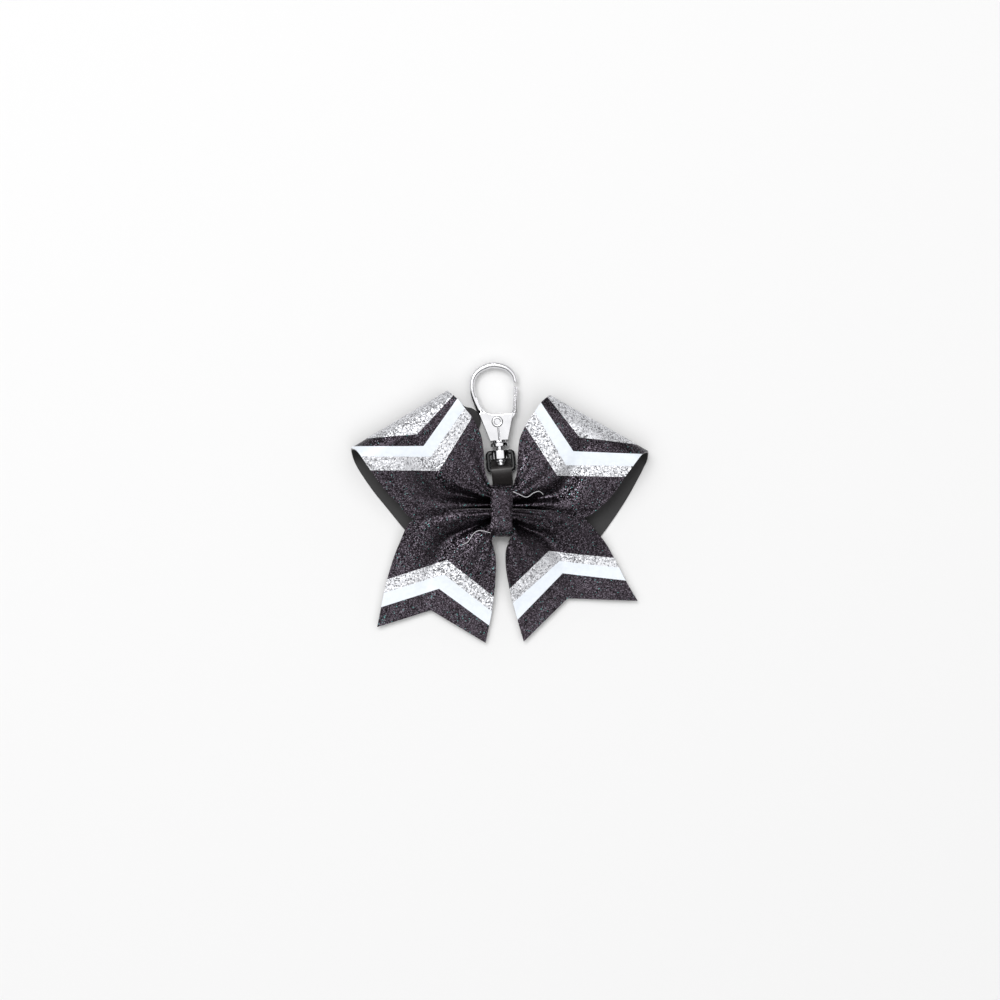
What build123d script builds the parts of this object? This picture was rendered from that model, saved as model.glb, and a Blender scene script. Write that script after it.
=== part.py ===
"""A mini cheer bow on a swivel clasp, lying on its back, in millimetres.

X runs across the bow, Y runs from the tails up to the clasp, and Z is up.
The bow lies on z = 0, and the origin is below the middle of the whole object.
"""

import os
from math import cos, radians, sin

from build123d import *

# The ribbon and what is on it
wall = 0.8  # glitter ribbon with its backing, as a plain soft wall
film = 0.3  # an applied stripe
bow_middle = 0.4  # the loops' profiles start at this X
panel_run = 45.0  # straight stretch from the bend to inside the knot
tail_level_run = 30.0
wide = 70.0  # more than any panel, before it is cut to its plan
tall = 20.0  # more than the height of the bow

# A loop: a flat back panel, a round fold and a front panel that slopes to the knot
fold_reach = 38.8  # from the middle of the bow to the outside of the fold
fold_radius = 5.6  # to the middle of the wall
loop_lean = 60.0  # direction of the right loop from X, in degrees
front_slope = 7.6
fold_height = fold_radius + wall / 2

# A tail: it slopes down from the knot, then runs level
tail_level = 2.4
tail_slope = 11.6
tail_bend = 30.0  # radius
tail_bend_at = 34.0  # distance from the knot to the end of the bend

# The knot
knot_x = 1.2
knot_y = -2.8
knot_width = 7.4
knot_length = 17.4
knot_bottom = 0.8
knot_top = 9.6
knot_corner = 3.4
knot_wall = 0.6
thread = 0.3  # diameter
thread_turns = 6
thread_pitch = 0.35

# The strap
strap_width = 6.35
strap_wall = 0.35
strap_low = 0.1
strap_end_y = -6.0

# The clasp: its own frame has y along the shank, from the strap to the hook
clasp_x = 1.15
clasp_y = 10.7
clasp_z = 3.05
clasp_lean = 5.0  # degrees, the hook end leans to -X
eye_wire = 0.75  # radius
eye_half = 4.15
eye_top = 5.75
eye_corner = 0.9
boss_radius = 2.95
boss_low = 3.5
boss_high = 6.5
pin_radius = 1.2
pin_low = 1.4
pin_high = 10.4
washer_radius = 1.65
washer_low = 2.4
washer_high = 3.4
collar_low = 7.6
collar_high = 9.1
body_low = 9.7
body_high = 18.3
body_half_thick = 2.3
ring_half_thick = 1.5
ring_y = 27.6
ring_outer = 8.15
ring_inner = 6.35
gate_top = 27.4
gate_half_thick = 1.3
plate_half_thick = 0.85
slot_half_thick = 0.95
rivet_y = 15.9
rivet_radius = 1.35
rivet_flange = 1.9
flange_thick = 0.3
rivet_wall = 0.4
rivet_depth = 2.0
spring_wire = 0.26
spring_radius = 1.75
spring_pitch = 0.3
spring_height = 0.8
running_gap = 0.06

clasp = Plane(
    origin=(clasp_x, clasp_y, clasp_z),
    x_dir=(cos(radians(clasp_lean)), sin(radians(clasp_lean)), 0),
    z_dir=(0, 0, 1),
)

os.makedirs("parts", exist_ok=True)


def save(piece, name):
    """Label a finished piece and write it as its own STEP file."""
    piece.part.label = name
    export_step(piece.part, f"parts/{name}.step")


def upright(x, y, heading):
    """A vertical plane whose local x runs along the heading and whose local y is Z."""
    along = Vector(cos(radians(heading)), sin(radians(heading)), 0)
    return Plane(origin=(x, y, 0), x_dir=along, z_dir=along.cross(Vector(0, 0, 1)))


def band(centre, radii, start, end, run_in, run_out=0.0):
    """Sketch a strip between two radii that turns from start to end, with straight runs."""
    turn = 1 if end > start else -1

    def place(radius, angle, run):
        a = radians(angle)
        return (
            centre[0] + radius * cos(a) - turn * run * sin(a),
            centre[1] + radius * sin(a) + turn * run * cos(a),
        )

    near, far = radii
    with BuildLine() as outline:
        Line(place(near, start, -run_in), place(near, start, 0))
        CenterArc(centre, near, start, end - start)
        Polyline(
            *([place(near, end, 0)] if run_out else []),
            place(near, end, run_out),
            place(far, end, run_out),
            *([place(far, end, 0)] if run_out else []),
        )
        CenterArc(centre, far, end, start - end)
        Polyline(place(far, start, 0), place(far, start, -run_in), place(near, start, -run_in))
    make_face(outline.edges())


def cut_to(edge, other_edge, end=()):
    """Sketch the plan of a panel: two selvedges, each from the knot out, and its outer end."""
    with BuildLine() as outline:
        first = Spline(*edge)
        second = Spline(*other_edge)
        Polyline(first @ 1, *end, second @ 1)
        Line(second @ 0, first @ 0)
    make_face(outline.edges())


def stripe(inner, outer):
    """Sketch the plan of a stripe between two V lines, each given from edge to edge."""
    with BuildLine() as outline:
        Polyline(*inner, *reversed(outer), close=True)
    make_face(outline.edges())


# Plans of the ribbon panels, selvedges from the knot out
front_plan = {
    "left": {
        "edge": [(-2.7, -2.0), (-16, -2.6), (-28, -5.4), (-38, 4.6), (-49.5, 22)],
        "other_edge": [(-2.7, 5.6), (-4.6, 9.5), (-5.2, 17.5), (-9.4, 28.6), (-17.4, 38)],
    },
    "right": {
        "edge": [(5.1, -2.0), (17, -2.4), (27.4, -5.0), (38.2, 3.2), (50.3, 20)],
        "other_edge": [(5.1, 5.6), (6.4, 9.5), (6.7, 17.5), (10.3, 27.4), (17.9, 37)],
    },
}
back_plan = {
    "left": {
        "edge": [(-2.7, -9), (-16, -12.5), (-27, -13), (-37, -2.4), (-46.9, 12), (-50.5, 19)],
        "other_edge": [(-2.7, 4.5), (-5.6, 9.5), (-6.2, 17.5), (-9.6, 27.5), (-17, 38)],
    },
    "right": {
        "edge": [(6.0, -9), (18, -13), (31, -14), (41.5, -0.6), (47.8, 12), (50.2, 18.5)],
        "other_edge": [(6.0, 4.5), (7.4, 9.5), (7.7, 17.5), (10.5, 26), (17.5, 37)],
    },
}
tail_plan = {
    "left": {
        "edge": [(-2.7, -2.5), (-16, -3.1), (-27.6, -5.9), (-34.6, -18), (-40, -41.4)],
        "other_edge": [(-2.7, -11.3), (-0.7, -18), (-1.3, -31), (-4, -46.4)],
        "end": [(-22.2, -35.8)],
    },
    "right": {
        "edge": [(5.1, -2.5), (17, -2.9), (27.6, -5.5), (36, -14.5), (46.2, -32.7)],
        "other_edge": [(5.1, -11.3), (2.5, -18), (4.2, -31), (8.5, -46.2)],
        "end": [(23, -31.9)],
    },
}

# The V lines between the stripes, from the fold or the knot outwards
loop_lines = {
    "left": [
        [(-60, 19.5), (-26.5, 22.2), (-5, 45)],
        [(-60, 18.4), (-24.4, 18.4), (-5, 45.4)],
        [(-60, 14.9), (-22.1, 14.9), (0, 47.2)],
        [(-60, 10.3), (-19.3, 10.3), (2, 44.6)],
    ],
    "right": [
        [(60, 17.5), (26.7, 21.2), (9, 43.5)],
        [(60, 15.2), (24.7, 16.7), (8, 41.5)],
        [(60, 11.3), (22.3, 12.1), (2, 44)],
        [(60, 7.8), (19.4, 8.7), (0, 38.6)],
    ],
}
tail_lines = {
    "left": [
        [(-50, -30), (-16.8, -19.1), (8, -38.5)],
        [(-50, -33.8), (-17.8, -23.9), (8, -44.1)],
        [(-50, -38.2), (-19.5, -28.7), (8, -49)],
    ],
    "right": [
        [(-8, -40.2), (16.7, -16.2), (50, -19.2)],
        [(-8, -45.1), (20.3, -19.5), (50, -23.2)],
        [(-8, -53.8), (21.3, -23.6), (50, -27.2)],
    ],
}
loop_heading = {"left": 180 - loop_lean, "right": loop_lean}
tail_heading = {"left": 241.0, "right": 305.0}


def loop_band(near, far, front):
    """Sketch the strip of a loop, between two offsets from the middle of the ribbon."""
    centre = (fold_reach - fold_height, fold_height)
    start = 90 + front_slope if front else -90
    band(centre, (fold_radius + near, fold_radius + far), start, 0, run_in=panel_run)


def tail_band(near, far):
    """Sketch the strip of a tail, between two offsets from the middle of the ribbon."""
    centre = (tail_bend_at, tail_level + tail_bend)
    band(centre, (tail_bend - near, tail_bend - far), -90 - tail_slope, -90, panel_run, tail_level_run)


# ---- The ribbon: two loops and two tails of one strip, and its gathered middle ----

for side in ("left", "right"):
    loop_plane = upright(bow_middle, 0, loop_heading[side])
    tail_plane = upright(knot_x, knot_y, tail_heading[side])

    for panel, plan in (("front", front_plan), ("back", back_plan)):
        with BuildPart() as loop_panel:
            with BuildSketch(loop_plane):
                loop_band(-wall / 2, wall / 2, front=panel == "front")
            extrude(amount=wide, both=True)
            with BuildSketch():
                cut_to(**plan[side])
            extrude(amount=tall, mode=Mode.INTERSECT)
        save(loop_panel, f"{side}_loop_{panel}")

    with BuildPart() as tail:
        with BuildSketch(tail_plane):
            tail_band(-wall / 2, wall / 2)
        extrude(amount=wide, both=True)
        with BuildSketch():
            cut_to(**tail_plan[side])
        extrude(amount=tall, mode=Mode.INTERSECT)
    save(tail, f"{side}_tail")

    # The stripes on the loop: a silver cap over the fold, then white, then silver
    lines = loop_lines[side]
    beyond_fold = [(lines[0][0][0], 60), (0, 60)]
    loop_stripes = {
        "silver_cap": (lines[0], beyond_fold),
        "white_stripe": (lines[1], lines[2]),
        "silver_stripe": (lines[2], lines[3]),
    }
    for stripe_name, (inner, outer) in loop_stripes.items():
        with BuildPart() as loop_stripe:
            with BuildSketch(loop_plane):
                loop_band(wall / 2, wall / 2 + film, front=True)
            extrude(amount=wide, both=True)
            with BuildSketch():
                cut_to(**front_plan[side])
            extrude(amount=tall, mode=Mode.INTERSECT)
            with BuildSketch():
                stripe(inner, outer)
            extrude(amount=tall, mode=Mode.INTERSECT)
        save(loop_stripe, f"{side}_loop_{stripe_name}")

    # The stripes on the tail: silver, then white
    lines = tail_lines[side]
    for stripe_name, inner, outer in (
        ("silver_stripe", lines[0], lines[1]),
        ("white_stripe", lines[1], lines[2]),
    ):
        with BuildPart() as tail_stripe:
            with BuildSketch(tail_plane):
                tail_band(wall / 2, wall / 2 + film)
            extrude(amount=wide, both=True)
            with BuildSketch():
                cut_to(**tail_plan[side])
            extrude(amount=tall, mode=Mode.INTERSECT)
            with BuildSketch():
                stripe(inner, outer)
            extrude(amount=tall, mode=Mode.INTERSECT)
        save(tail_stripe, f"{side}_tail_{stripe_name}")


# ---- The knot: gathered ribbon, the thread that ties it and the strip that covers it ----

knot_middle_z = (knot_bottom + knot_top) / 2
knot_plane = Plane(origin=(knot_x, knot_y, knot_middle_z), x_dir=(0, 1, 0), z_dir=(1, 0, 0))
gather_gap = knot_wall + thread + 0.1


def knot_shape(inset, mode=Mode.ADD):
    """Sketch the rounded end view of the knot, smaller by the inset all round."""
    height = knot_top - knot_bottom
    RectangleRounded(
        knot_length - 2 * inset, height - 2 * inset, knot_corner - inset, mode=mode
    )


with BuildPart() as knot_wrap:
    with BuildSketch(knot_plane):
        knot_shape(0)
        knot_shape(knot_wall, mode=Mode.SUBTRACT)
    extrude(amount=knot_width / 2, both=True)
save(knot_wrap, "knot_wrap")

with BuildPart() as gathered_centre:
    with BuildSketch(knot_plane):
        knot_shape(gather_gap)
    extrude(amount=knot_width / 2, both=True)
save(gathered_centre, "gathered_centre")

with BuildPart() as tie_thread:
    for turn in range(thread_turns):
        across = (turn - (thread_turns - 1) / 2) * thread_pitch
        with BuildSketch(knot_plane.offset(across)):
            knot_shape(knot_wall + 0.05)
            knot_shape(knot_wall + 0.05 + thread, mode=Mode.SUBTRACT)
        extrude(amount=thread / 2, both=True)
save(tie_thread, "tie_thread")


def thread_end(name, points):
    """One loose end of the tie thread, a round thread along a curve."""
    with BuildPart() as end:
        with BuildLine():
            run = Spline(*points)
        with BuildSketch(Plane(origin=run @ 0, z_dir=run % 0)):
            Circle(thread / 2)
        sweep()
    save(end, name)


thread_end("thread_end_right", [(5.1, 3.5, 9.9), (9.4, 1.6, 9.6), (13.2, 3.4, 10.0), (15.2, 2.3, 10.4)])
thread_end("thread_end_left", [(-2.7, -10.2, 8.9), (-6.2, -9.2, 9.1), (-9.2, -12, 8.2), (-12.2, -14.2, 7.3)])


# ---- The strap: satin ribbon round the bar of the eye, both ends behind the knot ----

strap_plane = Plane(origin=clasp.origin, x_dir=clasp.y_dir, z_dir=clasp.x_dir)
strap_inner = eye_wire + running_gap
strap_outer = strap_inner + strap_wall
strap_drop = strap_low + strap_wall - clasp_z  # the middle of the two flat legs
strap_bend_y = -7.2  # where the legs reach the back of the knot

with BuildPart() as strap:
    with BuildSketch(strap_plane):
        Circle(strap_outer)
        with BuildLine():
            Polyline(
                (-0.5, 1.0),
                (strap_bend_y + 0.3, strap_drop + strap_wall),
                (strap_end_y - clasp_y, strap_drop + strap_wall),
                (strap_end_y - clasp_y, strap_drop - strap_wall),
                (strap_bend_y, strap_drop - strap_wall),
                (0.3, -strap_outer),
                close=True,
            )
        make_face()
        Circle(strap_inner, mode=Mode.SUBTRACT)
    extrude(amount=strap_width / 2, both=True)
save(strap, "strap")


# ---- The clasp ----

shank_axis = Axis(clasp.origin, clasp.y_dir)
# A half section through the shank: local x is the radius, local y the height along it
section = clasp


def turned(low, high, radius, edge, bore=0.0):
    """Sketch the half section of a turned piece with bevelled ends."""
    with BuildLine() as outline:
        Polyline(
            (bore, low),
            (radius - edge, low),
            *([(radius, low + edge), (radius, high - edge)] if edge else []),
            (radius - edge, high),
            (bore, high),
            close=True,
        )
    make_face(outline.edges())


with BuildPart() as swivel_eye:
    with BuildLine(clasp):
        frame_line = FilletPolyline(
            (-boss_radius / 2, eye_top),
            (-eye_half, eye_top),
            (-eye_half, 0),
            (eye_half, 0),
            (eye_half, eye_top),
            (boss_radius / 2, eye_top),
            radius=eye_corner,
        )
    with BuildSketch(Plane(origin=frame_line @ 0, z_dir=frame_line % 0)):
        Circle(eye_wire)
    sweep()
    with BuildSketch(section):
        turned(boss_low, boss_high, boss_radius, 0.3)
    revolve(axis=shank_axis)
    with BuildSketch(section):
        turned(boss_low - 1, boss_high + 1, pin_radius + running_gap, 0)
    revolve(axis=shank_axis, mode=Mode.SUBTRACT)
save(swivel_eye, "swivel_eye")

with BuildPart() as swivel_pin:
    with BuildSketch(section):
        turned(pin_low, pin_high, pin_radius, 0.3)
    revolve(axis=shank_axis)
save(swivel_pin, "swivel_pin")

with BuildPart() as swivel_washer:
    with BuildSketch(section):
        turned(washer_low, washer_high, washer_radius, 0.15, bore=pin_radius)
    revolve(axis=shank_axis)
save(swivel_washer, "swivel_washer")


def body_plan():
    """Sketch the hook seen from above, without its opening: a shield below a ring."""
    with BuildLine() as outline:
        Line((-3.1, body_low), (3.2, body_low))
        Line((3.2, body_low), (5.4, body_high))
        Line((5.4, body_high), (ring_outer, ring_y))
        ThreePointArc((ring_outer, ring_y), (0, ring_y + ring_outer), (-ring_outer, ring_y))
        Spline(
            (-ring_outer, ring_y),
            (-6.9, 21),
            (-3.1, body_low),
            tangents=[(0, -1), (0.33, -1)],
        )
    make_face(outline.edges())


def opening_plan(mode=Mode.SUBTRACT):
    """Sketch the egg-shaped opening of the hook."""
    with BuildLine() as outline:
        ThreePointArc((ring_inner, ring_y), (0, ring_y + ring_inner), (-ring_inner, ring_y))
        Spline(
            (-ring_inner, ring_y),
            (-4.0, 20.5),
            (0.6, body_high),
            tangents=[(0, -1), (1, 0)],
        )
        Line((0.6, body_high), (5.2, body_high))
        Line((5.2, body_high), (ring_inner, ring_y))
    make_face(outline.edges(), mode=mode)


with BuildPart() as hook_body:
    # The ring, with the gap that the gate closes cut on a slant at the tip of the hook
    with BuildSketch(clasp):
        body_plan()
        opening_plan()
        with BuildLine():
            Polyline(
                (4.0, body_high - 0.6),
                (9.5, body_high - 1.2),
                (9.5, gate_top - 2.26),
                (5.2, gate_top + 1.26),
                close=True,
            )
        make_face(mode=Mode.SUBTRACT)
    extrude(amount=ring_half_thick, both=True)
    chamfer(hook_body.edges().group_by(Axis.Z)[0] + hook_body.edges().group_by(Axis.Z)[-1], 0.4)
    # The thicker shield
    with BuildSketch(clasp):
        with BuildLine():
            Polyline(
                (-3.1, body_low),
                (3.2, body_low),
                (5.2, body_high - 0.5),
                (-5.3, body_high - 0.5),
                close=True,
            )
        make_face()
    extrude(amount=body_half_thick, both=True)
    chamfer(hook_body.edges().group_by(Axis.Z)[0] + hook_body.edges().group_by(Axis.Z)[-1], 0.4)
    # The collar and the groove beside it
    with BuildSketch(section):
        turned(collar_low, collar_high, boss_radius, 0.2)
        turned(collar_high - 0.2, body_low + 0.2, boss_radius - 0.5, 0)
    revolve(axis=shank_axis)
    # The bore for the pin
    with BuildSketch(section):
        turned(collar_low - 1, pin_high, pin_radius, 0.3)
    revolve(axis=shank_axis, mode=Mode.SUBTRACT)
    # The slot for the plate of the gate
    with BuildSketch(clasp):
        with BuildLine():
            Polyline(
                (-3.2, rivet_y - 3.2),
                (7.0, rivet_y - 3.2),
                (7.0, body_high + 1),
                (-1.5, body_high + 1),
                (-3.2, rivet_y + 1.6),
                close=True,
            )
        make_face()
    extrude(amount=slot_half_thick, both=True, mode=Mode.SUBTRACT)
    # The hole for the rivet
    with BuildSketch(clasp):
        with Locations((0, rivet_y)):
            Circle(rivet_radius)
    extrude(amount=body_half_thick, both=True, mode=Mode.SUBTRACT)
save(hook_body, "hook_body")

with BuildPart() as gate:
    # The bar that closes the ring
    with BuildSketch(clasp):
        with BuildLine():
            Polyline(
                (5.25, body_high + 0.15),
                (6.65, body_high + 0.15),
                (7.95, gate_top - 1.22),
                (6.4, gate_top + 0.05),
                close=True,
            )
        make_face()
    extrude(amount=gate_half_thick, both=True)
    chamfer(gate.edges().group_by(Axis.Z)[0] + gate.edges().group_by(Axis.Z)[-1], 0.3)
    # The plate that turns on the rivet
    with BuildSketch(clasp):
        with Locations((0, rivet_y)):
            Circle(2.7)
        with BuildLine():
            Polyline(
                (0, rivet_y - 2.4),
                (5.0, rivet_y + 0.6),
                (6.65, body_high + 0.15),
                (6.75, body_high + 1.0),
                (5.35, body_high + 1.0),
                (5.0, body_high - 0.4),
                (0, rivet_y + 2.6),
                close=True,
            )
        make_face()
        with Locations((0, rivet_y)):
            Circle(rivet_radius + running_gap, mode=Mode.SUBTRACT)
    extrude(amount=plate_half_thick, both=True)
    # The recess for the spring
    with BuildSketch(clasp.offset(plate_half_thick)):
        with Locations((0, rivet_y)):
            Circle(spring_radius + spring_wire + 0.15)
    extrude(amount=-spring_height - 0.1, mode=Mode.SUBTRACT)
save(gate, "gate")

with BuildPart() as gate_spring:
    coil_base = clasp * Pos(0, rivet_y, plate_half_thick - spring_height + spring_wire / 2)
    with BuildLine(coil_base):
        coil = Helix(spring_pitch, spring_height - spring_wire, spring_radius)
    with BuildSketch(Plane(origin=coil @ 0, z_dir=coil % 0)):
        Circle(spring_wire / 2)
    sweep(is_frenet=True)
save(gate_spring, "gate_spring")

with BuildPart() as gate_rivet:
    rivet_half = body_half_thick + flange_thick
    with BuildSketch(clasp.offset(-rivet_half)):
        with Locations((0, rivet_y)):
            Circle(rivet_radius)
    extrude(amount=2 * rivet_half)
    for face_z in (-rivet_half, body_half_thick):
        with BuildSketch(clasp.offset(face_z)):
            with Locations((0, rivet_y)):
                Circle(rivet_flange)
        extrude(amount=flange_thick)
    with BuildSketch(clasp.offset(rivet_half)):
        with Locations((0, rivet_y)):
            Circle(rivet_radius - rivet_wall)
    extrude(amount=-rivet_depth, mode=Mode.SUBTRACT)
save(gate_rivet, "gate_rivet")
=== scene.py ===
"""The mini cheer bow on its swivel clasp, as Blender shows it: cloth, stripes, chrome, floor and light.

All lengths are in metres, in the frame of the CAD model: X across the bow, Y from the tails up to
the clasp, Z up from the table. The plans below are written in millimetres and turned by mm.
"""

from math import cos, pi, radians, sin

import bmesh
import bpy
import numpy as np
from mathutils import Matrix, Vector


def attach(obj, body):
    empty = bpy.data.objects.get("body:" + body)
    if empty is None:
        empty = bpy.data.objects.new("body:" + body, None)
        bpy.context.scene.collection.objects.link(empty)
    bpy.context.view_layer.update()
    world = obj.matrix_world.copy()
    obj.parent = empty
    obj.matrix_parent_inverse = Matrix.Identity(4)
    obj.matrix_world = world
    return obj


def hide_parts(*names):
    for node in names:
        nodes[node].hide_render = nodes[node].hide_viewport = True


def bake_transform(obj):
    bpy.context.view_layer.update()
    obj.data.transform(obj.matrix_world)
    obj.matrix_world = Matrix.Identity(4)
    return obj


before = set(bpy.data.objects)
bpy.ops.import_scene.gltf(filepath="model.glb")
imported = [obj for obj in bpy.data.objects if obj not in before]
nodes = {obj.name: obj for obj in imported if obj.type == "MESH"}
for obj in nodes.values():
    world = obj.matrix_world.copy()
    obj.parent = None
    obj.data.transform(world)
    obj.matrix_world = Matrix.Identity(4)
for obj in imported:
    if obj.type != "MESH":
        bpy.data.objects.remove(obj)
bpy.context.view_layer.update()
scene = bpy.context.scene
mm = 0.001

# ---- Driving sizes, in millimetres ----

ribbon_wall = 0.5
film = 0.14  # an applied stripe
sink = 0.03  # how deep a stripe is pressed into the ribbon

# A loop: its front slopes up from the knot, turns over in a round fold and runs back on the table
bow_middle = 0.4
fold_radius = 5.6
fold_height = 6.0
front_slope = radians(7.6)
loop_heading = {"left": radians(120), "right": radians(60)}
front_rows = 70  # rows of mesh in the front panel, round the fold and in the back panel
fold_rows = 34
back_rows = 60

# A tail: it slopes down from the knot, then lies level
knot_x = 1.2
knot_y = -2.8
tail_level = 2.4
tail_slope = radians(11.6)
tail_bend = 30.0
tail_bend_at = 34.0
tail_heading = {"left": radians(241), "right": radians(305)}

# The knot's end view, and where the panels come out of it
knot_length = 17.4
knot_height = 8.8
knot_corner = 3.4
knot_z = 5.2
mouth_x = {"left": -2.5, "right": 5.0}
mouth_y = {"loop": 1.5, "tail": -6.5}

# The clasp has its own frame: y runs along the shank, from the strap to the hook
clasp_origin = Vector((1.15, 10.7, 3.05)) * mm
clasp_lean = radians(5)
rivet_y = 15.9
gate_top = 27.4
strap_half_width = 3.35
clasp_x = Vector((cos(clasp_lean), sin(clasp_lean), 0))
clasp_y = Vector((-sin(clasp_lean), cos(clasp_lean), 0))


# ---- Camera, floor and light ----

view_middle = (0.66, 0.66)
view_width = 330.0
lens = 100.0

camera_data = bpy.data.cameras.new("camera")
camera_data.sensor_width = 36
camera_data.lens = lens
camera_data.clip_end = 20
camera = bpy.data.objects.new("camera", camera_data)
camera.location = (view_middle[0] * mm, view_middle[1] * mm, view_width * mm * lens / 36 + 0.005)
scene.collection.objects.link(camera)
scene.camera = camera


def material(name, base=(0.8, 0.8, 0.8), metallic=0.0, roughness=0.5):
    """A new material, with its Principled shader and its node tree."""
    made = bpy.data.materials.new(name)
    made.use_nodes = True
    shader = made.node_tree.nodes["Principled BSDF"]
    shader.inputs["Base Color"].default_value = (*base, 1)
    shader.inputs["Metallic"].default_value = metallic
    shader.inputs["Roughness"].default_value = roughness
    return made, shader, made.node_tree


floor_material, _, _ = material("floor", (0.86, 0.86, 0.86), roughness=0.9)
bpy.ops.mesh.primitive_plane_add(size=6, location=(0, 0, 0))
floor = bpy.context.object
floor.name = "floor"
floor.data.materials.append(floor_material)

scene.view_settings.view_transform = "Standard"
world = bpy.data.worlds.new("world")
scene.world = world
world.use_nodes = True
tree = world.node_tree
# A light tent: bright overhead, a dark gap between its roof and its walls, and dimmer walls
direction = tree.nodes.new("ShaderNodeTexCoord")
parts = tree.nodes.new("ShaderNodeSeparateXYZ")
tent = tree.nodes.new("ShaderNodeValToRGB")
tent_stops = [(0.0, 0.42), (0.34, 0.4), (0.4, 0.02), (0.61, 0.02), (0.7, 1.0)]
while len(tent.color_ramp.elements) < len(tent_stops):
    tent.color_ramp.elements.new(0.5)
for element, (height, grey) in zip(tent.color_ramp.elements, tent_stops):
    element.position = height
    element.color = (grey, grey, grey, 1)
tree.links.new(direction.outputs["Generated"], parts.inputs["Vector"])
tree.links.new(parts.outputs["Z"], tent.inputs["Fac"])
tree.links.new(tent.outputs["Color"], tree.nodes["Background"].inputs["Color"])
tree.nodes["Background"].inputs["Strength"].default_value = 1.2


def softbox(name, place, size, power):
    """A square area light that points at the middle of the bow."""
    data = bpy.data.lights.new(name, "AREA")
    data.shape = "SQUARE"
    data.size = size
    data.energy = power
    light = bpy.data.objects.new(name, data)
    light.location = place
    light.rotation_euler = (-Vector(place)).to_track_quat("-Z", "Y").to_euler()
    scene.collection.objects.link(light)


softbox("softbox_above", (-0.3, 0.5, 1.5), 0.7, 10.5)


# ---- Curves and meshes ----


def along(points, count):
    """Points evenly spaced along a smooth curve through the given ones."""
    given = np.array(points, float)
    padded = np.vstack([2 * given[0] - given[1], given, 2 * given[-1] - given[-2]])
    fine = []
    for a, b, c, d in zip(padded, padded[1:], padded[2:], padded[3:]):
        for t in np.linspace(0, 1, 24, endpoint=False):
            fine.append(
                0.5 * (2 * b + (c - a) * t + (2 * a - 5 * b + 4 * c - d) * t**2
                       + (3 * b - a - 3 * c + d) * t**3)
            )
    fine.append(given[-1])
    return respaced(np.array(fine), count)


def respaced(line, count):
    """A polyline with count points, evenly spaced."""
    step = np.linalg.norm(np.diff(line, axis=0), axis=1)
    run = np.concatenate([[0], np.cumsum(step)])
    wanted = np.linspace(0, run[-1], count)
    return np.column_stack([np.interp(wanted, run, column) for column in line.T])


def new_object(name, mesh, materials):
    """Link a mesh as a new piece, with its materials."""
    piece = bpy.data.objects.new(name, mesh)
    scene.collection.objects.link(piece)
    for one in materials:
        mesh.materials.append(one)
    return piece


def smooth(mesh, angle):
    """Shade a mesh smoothly, except at edges sharper than an angle in degrees."""
    mesh.polygons.foreach_set("use_smooth", [True] * len(mesh.polygons))
    mesh.set_sharp_from_angle(angle=radians(angle))


def refinish(mesh, finish):
    """Give a mesh one material."""
    mesh.materials.clear()
    mesh.materials.append(finish)


def normals_of(grid):
    """The upward normal at each point of a grid surface."""
    du = np.gradient(grid, axis=0)
    dv = np.gradient(grid, axis=1)
    normal = np.cross(du, dv)
    return normal / np.linalg.norm(normal, axis=2, keepdims=True)


def shell(name, grid, low, high, materials):
    """A closed sheet between two offsets from a grid surface: outside, inside and cut edge."""
    normal = normals_of(grid)
    rows, columns = grid.shape[:2]
    above = (grid + normal * high).reshape(-1, 3)
    points = np.concatenate([above, (grid + normal * low).reshape(-1, 3)])
    below = rows * columns

    def at(row, column):
        return row * columns + column

    faces = []
    kinds = []
    for r in range(rows - 1):
        for c in range(columns - 1):
            quad = [at(r, c), at(r + 1, c), at(r + 1, c + 1), at(r, c + 1)]
            faces.append(quad)
            faces.append([below + i for i in reversed(quad)])
            kinds += [0, 1]
    rim = [at(r, 0) for r in range(rows)]
    rim += [at(rows - 1, c) for c in range(1, columns)]
    rim += [at(r, columns - 1) for r in range(rows - 2, -1, -1)]
    rim += [at(0, c) for c in range(columns - 2, 0, -1)]
    for here, there in zip(rim, rim[1:] + rim[:1]):
        faces.append([there, here, below + here, below + there])
        kinds.append(2)
    mesh = bpy.data.meshes.new(name)
    mesh.from_pydata((points * mm).tolist(), [], faces)
    mesh.polygons.foreach_set("material_index", kinds)
    smooth(mesh, 50)
    return new_object(name, mesh, materials)


# ---- Materials ----


def add(tree, kind, **settings):
    """A new node with some of its settings."""
    node = tree.nodes.new(kind)
    for key, value in settings.items():
        setattr(node, key, value)
    return node


def ramp(tree, source, stops):
    """A colour ramp from (position, grey or colour) stops."""
    node = add(tree, "ShaderNodeValToRGB")
    while len(node.color_ramp.elements) < len(stops):
        node.color_ramp.elements.new(0.5)
    for element, (position, colour) in zip(node.color_ramp.elements, stops):
        element.position = position
        element.color = (*colour, 1) if isinstance(colour, tuple) else (colour, colour, colour, 1)
    tree.links.new(source, node.inputs["Fac"])
    return node.outputs["Color"]


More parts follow.
